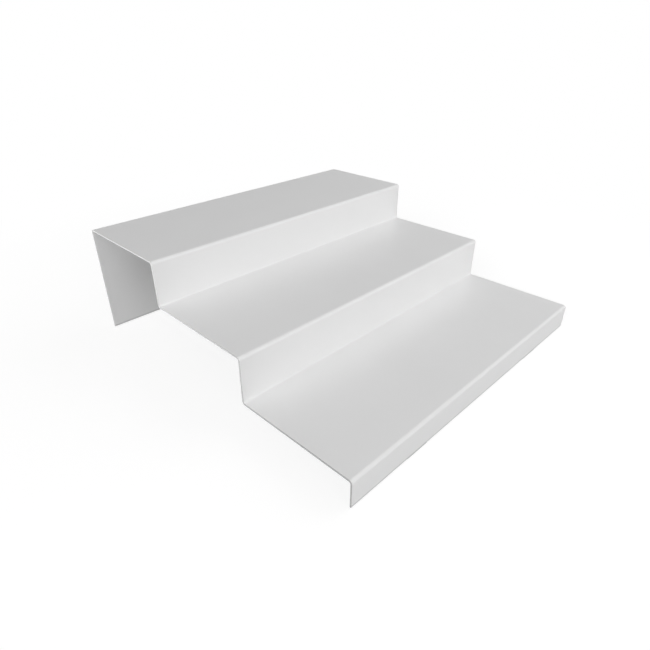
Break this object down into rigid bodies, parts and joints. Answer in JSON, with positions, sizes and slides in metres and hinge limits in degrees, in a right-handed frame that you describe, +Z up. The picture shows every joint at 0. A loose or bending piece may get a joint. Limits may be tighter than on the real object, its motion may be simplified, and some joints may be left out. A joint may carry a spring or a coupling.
{
  "type": "stepped display riser",
  "caption": "Stepped display riser for a counter: a white sheet of steel folded into treads, risers, a front lip and a back leg, open at both ends, on small rubber pads.",
  "frame": {"origin": "on the counter, under the middle of the footprint", "axes": "+Z up, +Y from the front lip to the back leg, +X to the right of someone who faces the lip"},
  "size_m": [0.4, 0.405, 0.13],
  "materials": {
    "white_powder_coat": "satin white powder coat",
    "pad_rubber": "matt pale grey rubber"
  },
  "bodies": {
    "root": {"step_sheet": "white_powder_coat", "front_left_pad": "pad_rubber", "front_right_pad": "pad_rubber", "rear_left_pad": "pad_rubber", "rear_right_pad": "pad_rubber"}
  },
  "joints": []
}
